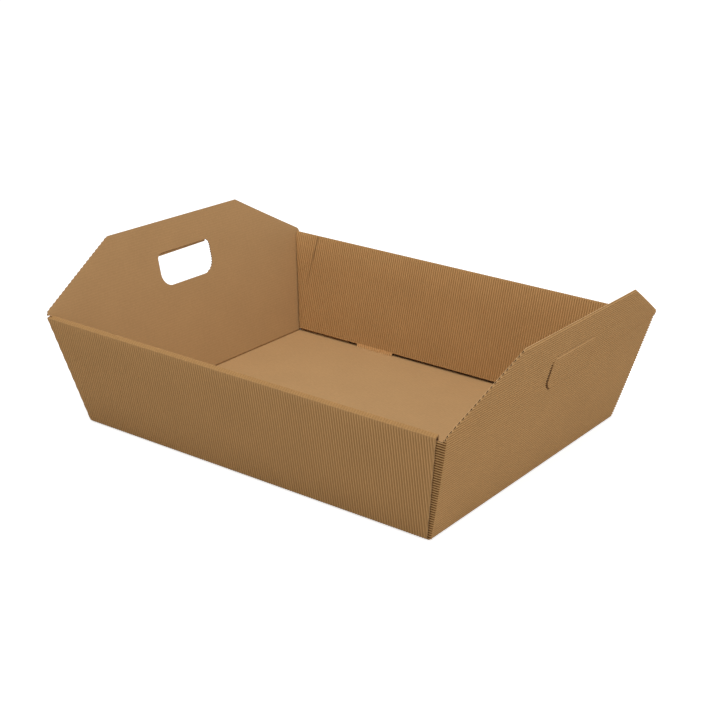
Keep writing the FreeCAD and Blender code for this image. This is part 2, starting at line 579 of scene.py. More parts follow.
@dataclass(frozen=True)
class CardFinishes:
    """The finishes of the two papers and of their cut edges."""

    liner: KraftFinish = KraftFinish("kraft_liner", stripe=0.025, shade=0.45)
    # The ribbed paper's colour is set lighter than the liner's to make up for the painted shade in
    # its valleys and to brighten ribbed faces that the lamps light less.
    ribs: KraftFinish = KraftFinish("kraft_ribs", colour=(0.562, 0.324, 0.132), shade=0.40)
    cut: KraftFinish = KraftFinish("kraft_cut_edge", colour=(0.50, 0.305, 0.145), fibre=0.16)

    def materials(self) -> list:
        """One material for each Layer, in its order."""
        return [self.liner.material(), self.ribs.material(), self.cut.material()]


@dataclass
class CardPart:
    """A part of the folded sheet that is one piece of the visual model."""

    tray: Tray
    materials: list

    def place(self, mesh: PieceMesh, name: str, body: str, node: str) -> bpy.types.Object:
        """Makes the piece of a mesh and seats it on the frame.

        Args:
            mesh: The gathered shells.
            name: Name of the piece.
            body: Body that the piece rides on.
            node: CAD node that the piece stands for.

        Returns:
            The new object.
        """
        piece = mesh.to_object(name, self.materials)
        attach(piece, body)
        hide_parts(node)
        LOG.info("%s: %d faces", name, len(piece.data.polygons))
        return piece

    def add_card(self, mesh: PieceMesh, smooth: np.ndarray, outward: np.ndarray,
                 flat: np.ndarray, fullness: np.ndarray, dip: np.ndarray,
                 keep: np.ndarray | None = None, mark: np.ndarray | float = 0.0) -> None:
        """Adds the liner and the ribbed paper of a panel.

        Args:
            mesh: Where the shells are gathered.
            smooth: Grid of points on the smooth side.
            outward: Unit vectors from the smooth side to the ribbed side.
            flat: Place across and along the ribs of each point.
            fullness: How whole the ribs are.
            dip: Depth of the grooves on the smooth side.
            keep: Cells of the grid that hold card.
            mark: Extra painted shade on the ribbed side, below 0 a painted highlight.
        """
        card = self.tray.card
        ribs = card.heights(flat[..., 0], fullness)
        crest = card.heights(np.zeros(1), np.ones(1))
        # Painted shade: the ribbed side darkens with the depth of its valleys, less where crushed
        # ribs are shallow, plus the extra painted shade or highlight given as mark.
        valley = (crest - ribs) / (crest - card.valley) * (0.5 + 0.5 * fullness) + mark

        def raised(height: np.ndarray) -> np.ndarray:
            """Grid of points at a height above the smooth side."""
            return smooth + outward * height[..., None]

        def spread(depth: np.ndarray) -> np.ndarray:
            """Flat place with the amount of painted shade, the depth in a valley or groove, as its
            third number.
            """
            return np.concatenate([flat, depth[..., None]], -1)

        # Painted shade in the pressed grooves of the smooth side, and deeper painted shade on the
        # hidden insides of the flutes.
        groove = spread(dip / self.tray.groove)
        hollow_shade = spread(np.full(dip.shape, card.hollow_shade_depth))
        mesh.add_shell(raised(dip + card.liner), raised(dip), (hollow_shade, groove),
                       Layer.LINER, keep)
        mesh.add_shell(raised(ribs), raised(ribs - card.paper), (spread(valley), hollow_shade),
                       Layer.RIBS, keep)


@dataclass
class FloorPanel(CardPart):
    """Floor with the slots of the four locking tabs."""

    crease_fullness: float = 0.45
    crease_reach: float = 1.2
    slot_slack: float = 0.1

    def build(self) -> bpy.types.Object:
        """Builds the floor piece.

        Returns:
            The new object.
        """
        tray, mesh = self.tray, PieceMesh()
        slots_x, slots_y = self.slot_ranges()
        near = tray.groove_reach
        edges_x = [-tray.half_length, tray.half_length]
        edges_y = [-tray.half_width, tray.half_width]
        x = merged_axis(tray.card.rib_steps(*edges_x), edges_x, np.ravel(slots_x),
                        [edges_x[0] + near, edges_x[1] - near])
        y = merged_axis(edges_y, np.ravel(slots_y), np.linspace(-110, 110, 5),
                        [edges_y[0] + near, edges_y[1] - near])
        across, along = np.meshgrid(x, y, indexing="ij")
        to_end = tray.half_length - np.abs(across)
        to_side = tray.half_width - np.abs(along)
        smooth = np.stack([across, along, np.full_like(across, tray.card.thickness)], -1)
        outward = np.broadcast_to([0.0, 0.0, -1.0], smooth.shape)
        crush = np.clip(1 - np.minimum(to_end, to_side) / self.crease_reach, 0, 1)
        fullness = 1 - (1 - self.crease_fullness) * crush
        dip = np.maximum(tray.dip(to_end), tray.dip(to_side))
        middle_x, middle_y = (x[1:] + x[:-1]) / 2, (y[1:] + y[:-1]) / 2
        in_x = np.zeros(len(middle_x), bool)
        in_y = np.zeros(len(middle_y), bool)
        for low, high in slots_x:
            in_x |= (middle_x > low) & (middle_x < high)
        for low, high in slots_y:
            in_y |= (middle_y > low) & (middle_y < high)
        keep = ~(in_x[:, None] & in_y[None, :])
        self.add_card(mesh, smooth, outward, np.stack([across, along], -1), fullness, dip, keep)
        return self.place(mesh, "sheet_floor", "tray", "tray_sheet")

    def slot_ranges(self) -> tuple:
        """Where the slots of the locking tabs are cut.

        Returns:
            The two ranges of X and the two ranges of Y that the slots take.
        """
        tray = self.tray
        reach = tray.tab_width / 2 + tray.slot_clearance
        wall = LongWall(tray, self.materials, Side.BACK)
        lean = wall.inner_along[0] / wall.inner_along[1]
        foot = np.array([tray.half_width - tray.inner_foot_inset, wall.inner_foot[1]])
        far = foot[0] + (tray.card.thickness - foot[1]) * lean + tray.slot_clearance
        near = far - 2 * tray.slot_clearance - tray.card.thickness - self.slot_slack
        slots_x = [(-tray.tab_offset - reach, -tray.tab_offset + reach),
                   (tray.tab_offset - reach, tray.tab_offset + reach)]
        return slots_x, [(near, far), (-far, -near)]


@dataclass(frozen=True)
class WallEnd:
    """Where one end of a long wall is cut, as distances from the middle."""

    outer_foot: float
    rim: float
    rim_inner: float
    inner_foot: float


@dataclass
class LongWall(CardPart):
    """Long wall: outer panel, band over the rim, inner panel and its two locking tabs."""

    side: Side
    crease_arc: float = 1.0
    foot_fullness: float = 0.45
    rim_fullness: float = 0.32
    band_fullness: float = 0.42
    # Painted shade on the rim band, and a painted highlight along the cut foot of the inner panel.
    band_shade: float = 0.3
    raised_foot: float = 1.1
    foot_highlight: float = -0.9
    foot_highlight_reach: float = 0.5
    band_lead: float = 0.8
    band_tail: float = 0.2
    cut_fullness: float = 0.35
    cut_reach: float = 3.0
    line_across: float = -144.0
    line_lean: float = -8.0
    line_width: float = 0.55
    line_depth: float = 0.3
    line_share: float = 0.62
    line_start: float = 0.03
    line_hold: float = 1.3
    line_fade: float = 1.5
    bend_lift: float = 1.0
    bend_reach: float = 18.0

    @property
    def side_foot(self) -> np.ndarray:
        """Crease at the foot of the outer panel, as Y and Z."""
        return np.array([self.tray.half_width, self.tray.card.thickness])

    @property
    def rim_outer(self) -> np.ndarray:
        """Outer crease of the rim."""
        return self.side_foot + turned(90 - self.tray.side_tilt) * self.tray.side_height

    @property
    def rim_inner(self) -> np.ndarray:
        """Inner crease of the rim."""
        return self.rim_outer + turned(180 - self.tray.rim_tilt) * self.tray.rim_band

    @property
    def inner_foot(self) -> np.ndarray:
        """Foot of the inner panel."""
        return np.array([self.tray.half_width - self.tray.inner_foot_inset,
                         self.tray.card.thickness + self.tray.inner_foot_gap + self.raised_foot])

    @property
    def inner_along(self) -> np.ndarray:
        """Direction down the inner panel."""
        run = self.inner_foot - self.rim_inner
        return run / np.linalg.norm(run)

    def stations(self) -> dict:
        """Path of the card from the floor, over the rim and down to the tabs.

        Returns:
            Arrays by name: run along the ribs, point as Y and Z, angle of the outward side,
            fullness of the ribs, and the runs where the parts of the path begin and end.
        """
        tray = self.tray
        inner_length = float(np.linalg.norm(self.inner_foot - self.rim_inner))
        outward = np.array([self.inner_along[1], -self.inner_along[0]])
        inner_angle = math.degrees(math.atan2(outward[1], outward[0]))
        side_angle, band_angle = -tray.side_tilt, 90 - tray.rim_tilt
        path = []

        def arc(run: float, point: np.ndarray, start: float, end: float, count: int,
                fullness: float) -> None:
            """Adds the stations of a crease, without its two ends.

            Args:
                run: Run where the crease begins.
                point: Y and Z of the crease.
                start: Angle of the outward side before the crease.
                end: The same after it.
                count: Number of steps.
                fullness: How whole the ribs are.
            """
            for k in range(1, count):
                t = k / count
                path.append((run + self.crease_arc * t, *point, start + (end - start) * t, fullness))

        def panel(run: float, start: np.ndarray, end: np.ndarray, angle: float, spots: list,
                  full: list) -> None:
            """Adds the stations of a flat stretch.

            Args:
                run: Run where the stretch begins.
                start: Y and Z of its beginning.
                end: Y and Z of its end.
                angle: Angle of its outward side.
                spots: Distances of the stations from the beginning.
                full: How whole the ribs are at each station.
            """
            length = float(np.linalg.norm(end - start))
            for spot, fullness in zip(spots, full):
                point = start + (end - start) * (spot / length)
                path.append((run + spot, *point, angle, fullness))

        # Each stretch has stations close to its creases, where the ribs go from crushed to whole
        low, foot = self.rim_fullness, self.foot_fullness
        height, band = tray.side_height, tray.rim_band
        run = 0.0
        path.append((-self.crease_arc, *self.side_foot, -90.0, foot))
        arc(-self.crease_arc, self.side_foot, -90.0, side_angle, 4, foot)
        panel(run, self.side_foot, self.rim_outer, side_angle,
              [0, 1.2, 28, 55, height - 1.1, height], [foot, 1, 1, 1, 1, low])
        run = height
        arc(run, self.rim_outer, side_angle, band_angle, 4, low)
        run += self.crease_arc
        panel(run, self.rim_outer, self.rim_inner, band_angle, [0, 0.7, band - 0.7, band],
              [low, self.band_fullness, self.band_fullness, low])
        run += band
        arc(run, self.rim_inner, band_angle, inner_angle, 5, low)
        run += self.crease_arc
        inner_start, inner_end = run, run + inner_length
        panel(run, self.rim_inner, self.inner_foot, inner_angle,
              [0, 1.1, 25, 52, inner_length - 0.7, inner_length],
              [low, 1, 1, 1, 1, 0.8])
        tab = (self.inner_foot[1] - tray.tab_recess) / -self.inner_along[1]
        end = self.inner_foot + self.inner_along * tab
        path.append((inner_end + tab, *end, inner_angle, 1.0))
        table = np.array(path)
        return {"run": table[:, 0], "point": table[:, 1:3], "angle": table[:, 3],
                "fullness": table[:, 4], "inner_start": inner_start, "inner_end": inner_end}

    def ends(self) -> dict:
        """How far the wall reaches at either end: both walls have slid a little to the left.

        Returns:
            A WallEnd for each End.
        """
        tray = self.tray
        foot = tray.half_length - tray.side_end_gap_foot
        rim = tray.end_x(self.rim_outer[1]) - tray.side_end_gap_rim
        inner = tray.end_x(self.inner_foot[1]) - tray.inner_end_gap_foot
        if self.side is Side.FRONT:
            return {End.LEFT: WallEnd(foot + 2.2, rim + 5.6, rim + 4.0, inner),
                    End.RIGHT: WallEnd(foot + 0.6, rim - 2.8, rim - 2.81, inner)}
        return {End.LEFT: WallEnd(foot + 3.4, rim + 3.15, rim + 3.14, inner + 0.8),
                End.RIGHT: WallEnd(foot + 1.8, rim, rim - 0.01, inner)}

    def cut_runs(self, x: np.ndarray, path: dict) -> tuple:
        """First and last run of the path for the ribs at positions along the wall.

        Args:
            x: Positions of the ribs.
            path: The stations of the wall.

        Returns:
            Two arrays of runs.
        """
        first, last = np.zeros(len(x)), np.zeros(len(x))
        height = self.tray.side_height
        for end, cut in self.ends().items():
            here = (x * end.value) >= 0
            reach = np.abs(x[here])
            start = np.interp(reach, [cut.outer_foot, cut.rim], [0, height])
            first[here] = np.where(reach > cut.outer_foot, start, path["run"][0])
            stop = np.interp(reach, [cut.inner_foot, cut.rim_inner, cut.rim],
                             [path["inner_end"], path["inner_start"], height + self.crease_arc])
            last[here] = np.where(reach > cut.inner_foot, stop, path["run"][-1])
        return first, last

    def cut_press(self, across: np.ndarray, along: np.ndarray, path: dict) -> np.ndarray:
        """How whole the ribs are near the slanting cut edges, which the cutter has pressed.

        Args:
            across: Position along the wall of each point.
            along: Run of each point.
            path: The stations of the wall.

        Returns:
            Shares of the full height of the ribs.
        """
        height, inner = self.tray.side_height, path["inner_start"]
        press = np.ones_like(along)
        for end, cut in self.ends().items():
            reach = np.interp(along, [0, height, inner, path["inner_end"]],
                              [cut.outer_foot, cut.rim, cut.rim_inner, cut.inner_foot])
            inside = reach - across * end.value
            share = np.clip(self.cut_fullness + inside / self.cut_reach, 0, 1)
            press = np.minimum(press, share)
        return press

    def pressed_line(self, across: np.ndarray, along: np.ndarray, path: dict) -> tuple:
        """Bend of the back inner panel along a slanting line near its left end, and painted light on
        both long walls.

        Args:
            across: Position along the wall of each point.
            along: Run of each point.
            path: The stations of the wall.

        Returns:
            Move of each point towards the ribbed side, and its painted tone: painted shade on the
            rim band and a painted highlight at the cut foot.
        """
        # Painted highlight at the cut foot of the inner panel and painted shade on the rim band.
        foot = along > path["inner_end"] - self.foot_highlight_reach
        band = along > self.tray.side_height + self.band_lead
        band &= along < path["inner_start"] - self.band_tail
        mark = np.where(band, self.band_shade, np.where(foot, self.foot_highlight, 0.0))
        if self.side is Side.FRONT:
            return np.zeros_like(along), mark
        length = path["inner_end"] - path["inner_start"]
        down = (along - path["inner_start"]) / length
        beside = across - (self.line_across + self.line_lean * down)
        strength = np.clip(self.line_hold - self.line_fade * down, 0, 1)
        strength = np.clip(down / self.line_start, 0, 1) * strength
        line = np.exp(-(beside / self.line_width) ** 2) * strength
        lift = self.bend_lift * np.clip(-beside / self.bend_reach, 0, 1) * strength
        return lift - self.line_depth * line, mark

    def finishes(self, path: dict) -> list:
        """Materials of this wall: the ribbed paper at the back carries the painted shade of the
        pressed crease.

        Args:
            path: The stations of the wall.

        Returns:
            One material for each Layer, in its order.
        """
        if self.side is Side.FRONT:
            return self.materials
        length = path["inner_end"] - path["inner_start"]
        line = CreaseShadeLine(self.line_across, path["inner_start"] + self.tray.half_width,
                           self.line_lean / length, self.line_share * length)
        ribs = replace(CardFinishes().ribs, name="kraft_ribs_crease_shade", line=line)
        return [self.materials[0], ribs.material(), self.materials[2]]

    def build(self) -> bpy.types.Object:
        """Builds the piece of this wall.

        Returns:
            The new object.
        """
        tray, mesh, path = self.tray, PieceMesh(), self.stations()
        cuts = self.ends()
        tab_edges = [sign * tray.tab_offset + end * tray.tab_width / 2
                     for sign in (-1, 1) for end in (-1, 1)]
        corners = [end.value * reach for end, cut in cuts.items()
                   for reach in (cut.outer_foot, cut.rim, cut.rim_inner, cut.inner_foot)]
        ribs = tray.card.rib_steps(-cuts[End.LEFT].rim, cuts[End.RIGHT].rim)
        x = merged_axis(ribs, corners, tab_edges)
        run = path["run"]
        self.materials = self.finishes(path)
        first, last = self.cut_runs(x, path)
        along = np.clip(run[None, :], first[:, None], last[:, None])
        across = np.broadcast_to(x[:, None], along.shape)

        def at(values: np.ndarray) -> np.ndarray:
            """A column of the path at every grid point."""
            return np.interp(along, run, values)

        angle = np.radians(at(path["angle"]))
        sign = self.side.value
        smooth = np.stack([across, sign * at(path["point"][:, 0]), at(path["point"][:, 1])], -1)
        outward = np.stack([np.zeros_like(angle), sign * np.cos(angle), np.sin(angle)], -1)
        shift, mark = self.pressed_line(across, along, path)
        smooth = smooth + outward * shift[..., None]
        middle = (x[1:] + x[:-1]) / 2
        tab = np.abs(np.abs(middle) - tray.tab_offset) < tray.tab_width / 2
        keep = np.ones((len(x) - 1, len(run) - 1), bool)
        keep[:, run[:-1] > path["inner_end"] - ROUNDING] = tab[:, None]
        flat = np.stack([across, along + tray.half_width], -1)
        level = np.zeros_like(along)
        fullness = at(path["fullness"]) * self.cut_press(across, along, path)
        self.add_card(mesh, smooth, outward, flat, fullness, level, keep, mark)
        name = f"sheet_{self.side.name.lower()}_wall"
        return self.place(mesh, name, "tray", "tray_sheet")


@dataclass(frozen=True)
class HandHole:
    """Outline of a hand hole on its end wall, made smaller all round by a gap."""

    tray: Tray
    gap: float = 0.0
    drop: float = 0.0

    @property
    def foot(self) -> float:
        """Lower edge, up the slope."""
        return self.tray.hole_foot + self.gap

    @property
    def top(self) -> float:
        """Upper edge, up the slope."""
        return self.tray.hole_top - self.gap - self.drop

    def levels(self) -> np.ndarray:
        """Rows that follow the round corners closely, up the slope."""
        fine = np.array([0, 0.06, 0.2, 0.45, 0.8])
        return np.concatenate([self.foot + fine, self.top - fine])

    def edges(self, up: np.ndarray) -> tuple:
        """Left and right edge of the hole at distances up the slope.

        Args:
            up: Distances up the slope of the end wall.

        Returns:
            Two arrays of Y, for places outside the hole those of its nearest edge.
        """
        tray = self.tray
        up = np.clip(up, self.foot, self.top)
        cut = np.zeros_like(up)
        for edge, radius, sign in ((self.foot, tray.hole_foot_radius - self.gap, 1),
                                   (self.top, tray.hole_top_radius - self.gap, -1)):
            into = np.clip(radius - sign * (up - edge), 0, radius)
            cut = np.maximum(cut, radius - np.sqrt(radius ** 2 - into ** 2))
        half = tray.hole_width / 2 - self.gap
        return tray.hole_shift - half + cut, tray.hole_shift + half - cut


@dataclass(frozen=True)
class Lean:
    """How the card of an end wall bends out of its plane, in millimetres."""

    top: float
    top_twist: float
    wing_front: float
    wing_back: float
    rise: float
    skew: float
    wing_start: float = 70.0
    wing_reach: float = 75.0

    def outward(self, up: np.ndarray, across: np.ndarray, tray: Tray) -> np.ndarray:
        """How far the card moves to its outer side.

        Args:
            up: Distances up the slope.
            across: Distances from the middle, along Y.
            tray: The sizes.

        Returns:
            Moves in millimetres.
        """
        part = np.clip(up, 0, None) / tray.end_height
        top = part ** 3 * (self.top + self.top_twist * across / (tray.end_top_width / 2))
        far = np.clip((np.abs(across) - self.wing_start) / self.wing_reach, 0, 1) ** 1.5
        low = np.clip(np.clip(up, 0, None) / tray.shoulder_height, 0, 1) ** 1.5
        return top - np.where(across < 0, self.wing_front, self.wing_back) * far * low

    def upward(self, up: np.ndarray, across: np.ndarray, tray: Tray) -> np.ndarray:
        """How far the card moves up its slope, at the same places as outward()."""
        part = np.clip(up, 0, None) / tray.end_height
        return part ** 2 * (self.rise + self.skew * across / (tray.end_top_width / 2))


@dataclass
class EndWall(CardPart):
    """End wall with sloping shoulders, its hand hole and its two corner flaps."""

    end: End
    crease_fullness: float = 0.45
    corner_fullness: float = 0.9
    shoulder_reach: float = 146.0
    step: float = 82.3
    step_over_rim: float = 83.1
    sharp_radius: float = 2.2
    hinge_fullness: float = 0.45
    hinge_drop: float = 0.29
    hinge_above: float = 0.4
    hinge_width: float = 0.8
    hole_margin: float = 0.8
    crease_reach: float = 1.2
    press_reach: float = 0.5
    press_fullness: float = 0.03
    step_slack: float = 0.15
    corner_steps: int = 6
    corner_foot: float = 0.05
    corner_shade: float = 1.2

    @property
    def lean(self) -> Lean:
        """How this wall stands: the card springs, so that the two ends differ a little."""
        if self.end is End.LEFT:
            return Lean(top=-0.6, top_twist=0.7, wing_front=0.3, wing_back=1.8, rise=0.3,
                        skew=-0.8)
        return Lean(top=0.8, top_twist=1.3, wing_front=0.9, wing_back=3.6, rise=-0.6, skew=0.9)

    @property
    def hole(self) -> HandHole:
        """The hand hole, whose upper edge is drawn down to the crease of a flap that is shut."""
        return HandHole(self.tray, 0.0, self.hinge_drop if self.end is End.RIGHT else 0.0)

    def frame_at(self, up: np.ndarray, across: np.ndarray) -> tuple:
        """Points on the smooth side and the outward direction of the wall.

        Args:
            up: Distance up the slope, below 0 inside the floor crease.
            across: Distance from the middle, along Y.

        Returns:
            Grid of points and grid of unit vectors.
        """
        tray, sign, lean = self.tray, self.end.value, self.lean
        tilt = math.radians(tray.end_tilt)
        rise = np.clip(up, 0, None) + lean.upward(up, across, tray)
        out = lean.outward(up, across, tray)
        x = tray.half_length + rise * math.sin(tilt) + out * math.cos(tilt)
        z = tray.card.thickness + rise * math.cos(tilt) - out * math.sin(tilt)
        angle = np.where(up < 0, -tilt + up * (math.pi / 2 - tilt), -tilt)
        smooth = np.stack([sign * x, across, z], -1)
        outward = np.stack([sign * np.cos(angle), np.zeros_like(angle), np.sin(angle)], -1)
        return smooth, outward

    def step_up(self, side: Side) -> float:
        """Where the shoulder steps out over the long wall, up the slope."""
        over_rim = self.end is End.LEFT and side is Side.FRONT
        return self.step_over_rim if over_rim else self.step

    def edge(self, up: np.ndarray, side: Side) -> np.ndarray:
        """Edge of the wall: the corner crease, then the shoulder's round corner, then its slope.

        Args:
            up: Distances up the slope.
            side: The long side that the edge is at.

        Returns:
            Distances of the edge from the middle, along Y.
        """
        tray, step = self.tray, self.step_up(side)
        crease = tray.corner_y(tray.end_level(np.clip(up, 0, None)))
        sharp = np.array([tray.corner_y(tray.end_level(tray.shoulder_height)),
                          tray.shoulder_height])
        top = np.array([tray.end_top_width / 2, tray.end_height])
        slope = (top - sharp) / (top - sharp)[1]
        corner = sharp + slope * (self.shoulder_reach - sharp[0]) / slope[0]
        to_top, to_foot = slope / np.linalg.norm(slope), np.array([0.0, -1.0])
        half = math.acos(float(to_foot @ to_top)) / 2
        reach = corner[1] - step - self.step_slack
        sharper = self.end is End.RIGHT and side is Side.BACK
        rounding = self.sharp_radius if sharper else tray.shoulder_radius
        radius = min(rounding, reach * math.tan(half))
        reach = radius / math.tan(half)
        bisector = (to_foot + to_top) / np.linalg.norm(to_foot + to_top)
        centre = corner + bisector * (radius / math.sin(half))
        low, high = corner + to_foot * reach, corner + to_top * reach
        inside = np.clip(radius ** 2 - (up - centre[1]) ** 2, 0, None)
        width = np.where(up > high[1], corner[0] + (up - corner[1]) * slope[0],
                         centre[0] + np.sqrt(inside))
        width = np.where(up < low[1], corner[0], width)
        return np.where(up < step + ROUNDING, crease, width)

    def rows(self) -> np.ndarray:
        """Places the rows of the grid.

        Returns:
            Distances up the slope.
        """
        tray = self.tray
        tilt = math.cos(math.radians(tray.end_tilt))
        flap = [(level - tray.card.thickness) / tilt for level in self.flap_levels()]
        # The rows are close together where the outline steps or turns and where ribs are pressed
        steps = [self.step_up(side) + more for side in Side for more in (0, 0.01)]
        shoulder = tray.shoulder_height + np.linspace(-4, 4, 28)
        hinge = tray.hole_top + np.array([0.3, 0.9, 1.5])
        top = tray.end_height - self.press_reach * np.array([1.0, 0.5, 0.0])
        return merged_axis(np.linspace(-1, 0, 6), [0.25, tray.groove_reach, 1.2], flap, steps,
                           shoulder, hinge, tray.card.rib_steps(0, tray.end_height),
                           top, self.hole.levels())

    def flap_levels(self) -> tuple:
        """Where a corner flap begins and ends.

        Returns:
            Heights of its lower and upper edge above the table.
        """
        tray = self.tray
        rim = tray.card.thickness + tray.side_height * math.cos(math.radians(tray.side_tilt))
        return tray.card.thickness + self.corner_foot, rim - tray.flap_top_gap

    def build(self) -> bpy.types.Object:
        """Builds the piece of this end wall.

        Returns:
            The new object.
        """
        mesh = PieceMesh()
        rows = self.rows()
        self.add_wall(mesh, rows)
        for side in Side:
            self.add_corner_flap(mesh, rows, side)
        return self.place(mesh, f"sheet_{self.end.name.lower()}_end", "tray", "tray_sheet")

    def add_wall(self, mesh: PieceMesh, rows: np.ndarray) -> None:
        """Adds the wall itself, with its hand hole.

        Args:
            mesh: Where the shells are gathered.
            rows: Distances up the slope of the rows of the grid.
        """
        tray, hole = self.tray, self.hole
        front, back = -self.edge(rows, Side.FRONT), self.edge(rows, Side.BACK)
        hole_left, hole_right = hole.edges(rows)
        left = [front + (hole_left - front) * t for t in (0, 0.02, 0.2, 0.4, 0.7)]
        right = [back + (hole_right - back) * t for t in (0.7, 0.4, 0.2, 0.02, 0)]
        columns = np.stack([*left, hole_left - self.hole_margin, hole_left, hole_right,
                            hole_right + self.hole_margin, *right], -1)
        inner = len(left) + 1
        up = np.broadcast_to(rows[:, None], columns.shape)
        smooth, outward = self.frame_at(up, columns)
        crush = np.clip(1 - up / self.crease_reach, 0, 1)
        fullness = 1 - (1 - self.crease_fullness) * crush
        fullness = fullness * np.clip((tray.end_height - up) / self.press_reach,
                                      self.press_fullness, 1)
        if self.end is End.RIGHT:
            hinge = np.exp(-((rows - hole.top - self.hinge_above) / self.hinge_width) ** 2)
            hinge = hinge * (1 - self.hinge_fullness)
            fullness[:, inner:inner + 2] *= 1 - hinge[:, None]
        middle = (rows[1:] + rows[:-1]) / 2
        keep = np.ones((len(rows) - 1, columns.shape[1] - 1), bool)
        keep[:, inner] = (middle < hole.foot) | (middle > hole.top)
        flat = np.stack([up, columns], -1)
        self.add_card(mesh, smooth, outward, flat, fullness, tray.dip(up), keep)

    def add_corner_flap(self, mesh: PieceMesh, rows: np.ndarray, side: Side) -> None:
        """Adds the flap beside the wall, from their crease to its end in the hollow.

        Args:
            mesh: Where the shells are gathered.
            rows: Distances up the slope of the rows of the grid.
            side: The long side that the flap is folded along.
        """
        tray, sign, bend = self.tray, side.value, self.corner_steps
        low, high = self.flap_levels()
        levels = tray.end_level(rows)
        rows = rows[(levels > low - ROUNDING) & (rows < self.step_up(side) + ROUNDING)]
        height = tray.end_level(rows)
        tilt = math.radians(tray.side_tilt)
        corner, wall_out = self.frame_at(rows, sign * self.edge(rows, side))
        side_out = np.array([0, sign * math.cos(tilt), -math.sin(tilt)])
        far = np.interp(height, [low, high], [tray.end_x(low) - tray.flap_length + tray.flap_taper,
                                              tray.end_x(high) - tray.flap_length])
        near = np.abs(corner[:, 0])
        smooth, outward, along = [], [], []
        for t in np.linspace(0, 1, bend):
            direction = wall_out * (1 - t) + side_out * t
            smooth.append(corner)
            outward.append(direction / np.linalg.norm(direction, axis=-1, keepdims=True))
            along.append(np.abs(corner[:, 1]) + t)
        for t in (0.03, 0.3, 0.65, 1.0):
            x = near + (far - near) * t
            smooth.append(np.stack([self.end.value * x, corner[:, 1], corner[:, 2]], -1))
            outward.append(np.broadcast_to(side_out, corner.shape))
            along.append(np.abs(corner[:, 1]) + 1 + (near - far) * t)
        smooth, outward = np.stack(smooth, 1), np.stack(outward, 1)
        up = np.broadcast_to(rows[:, None], smooth.shape[:2])
        flat = np.stack([up, sign * np.stack(along, 1)], -1)
        fullness = np.full(up.shape, 1.0)
        fullness[:, 1:bend - 1] = self.corner_fullness
        keep = np.ones((len(rows) - 1, up.shape[1] - 1), bool)
        keep[tray.end_level((rows[1:] + rows[:-1]) / 2) > high, bend:] = False
        # Painted shade in the rib valleys round the corner crease.
        mark = np.zeros(up.shape)
        wave = np.cos(2 * math.pi * up[:, 2:bend + 1] / tray.card.pitch)
        mark[:, 2:bend + 1] = self.corner_shade * (0.5 - 0.5 * wave)
        self.add_card(mesh, smooth, outward, flat, fullness, np.zeros(up.shape), keep, mark)


@dataclass
class HandFlap(CardPart):
    """Flap cut from a hand hole, which swings about its upper edge on the ribbed side."""

    end: End
    side_gap: float = 0.07
    pushed_gap: float = 0.8
    pushed_reach: float = 12.0
    bulge: float = 0.2
    bulge_reach: float = 5.0
    hinge_fullness: float = 0.15
    hinge_reach: float = 1.5
    hinge_slack: float = 0.1
    edge_shadow: float = 1.75
    edge_shadow_reach: float = 6.0
    crease_highlight: float = -0.35

    def hinge_point(self, top: float) -> np.ndarray:
        """Point on the hinge axis: on the ribbed side of a straight wall, at the upper edge.

        Args:
            top: Distance of the axis up the slope.

        Returns:
            X, Y and Z in millimetres.
        """
        tilt, thickness = math.radians(self.tray.end_tilt), self.tray.card.thickness
        x = self.tray.half_length + top * math.sin(tilt) + thickness * math.cos(tilt)
        z = thickness + top * math.cos(tilt) - thickness * math.sin(tilt)
        return np.array([self.end.value * x, 0.0, z])

    def build(self) -> bpy.types.Object:
        """Builds the flap as it stands at rest.

        Returns:
            The new object.
        """
        tray, mesh = self.tray, PieceMesh()
        top = tray.hole_top - tray.cut_gap
        hole = HandHole(tray, self.side_gap)
        upper = tray.hole_top - self.hinge_slack if self.end is End.LEFT else top
        rows = merged_axis(tray.card.rib_steps(hole.foot, top), hole.levels(), [top, upper])
        rows = rows[rows < upper + ROUNDING]
        left, right = hole.edges(rows)
        if self.end is End.RIGHT:
            left = left + self.pushed_gap * np.clip((top - rows) / self.pushed_reach, 0, 1)
        # The two narrow columns at the left edge hold the painted shadow strip of the right flap.
        columns = np.stack([left + (right - left) * t for t in (0, 0.032, 0.042, 0.5, 1)], -1)
        up = np.broadcast_to(rows[:, None], columns.shape)
        wall = EndWall(tray, self.materials, self.end)
        smooth, outward = wall.frame_at(up, columns)
        if self.end is End.RIGHT:
            bulge = np.clip(1 - (top - up) / self.bulge_reach, 0, 1) * self.bulge
            smooth = smooth + outward * bulge[..., None]
        angle = {End.LEFT: tray.left_flap_angle, End.RIGHT: tray.right_flap_angle}[self.end]
        turn = np.array(Matrix.Rotation(math.radians(-angle * self.end.value), 3, "Y"))
        pivot = self.hinge_point(top)
        smooth = (smooth - pivot) @ turn.T + pivot
        outward = outward @ turn.T
        flat = np.stack([up, columns], -1)
        hinge = np.clip(1 - (top - up) / self.hinge_reach, 0, 1)
        fullness = 1 - (1 - self.hinge_fullness) * hinge
        # Painted highlight along the hinge crease of the flap.
        mark = self.crease_highlight * (hinge > 0)
        # Painted shadow strip along the right flap's front edge, where the cut gap is dark.
        if self.end is End.RIGHT:
            edge = self.edge_shadow * np.clip((top - rows) / self.edge_shadow_reach, 0, 1)
            mark[:, :2] = edge[:, None]
        self.add_card(mesh, smooth, outward, flat, fullness, np.zeros(up.shape), None, mark)
        name = self.end.name.lower()
        return self.place(mesh, f"{name}_flap_card", f"{name}_flap", f"{name}_hand_flap")


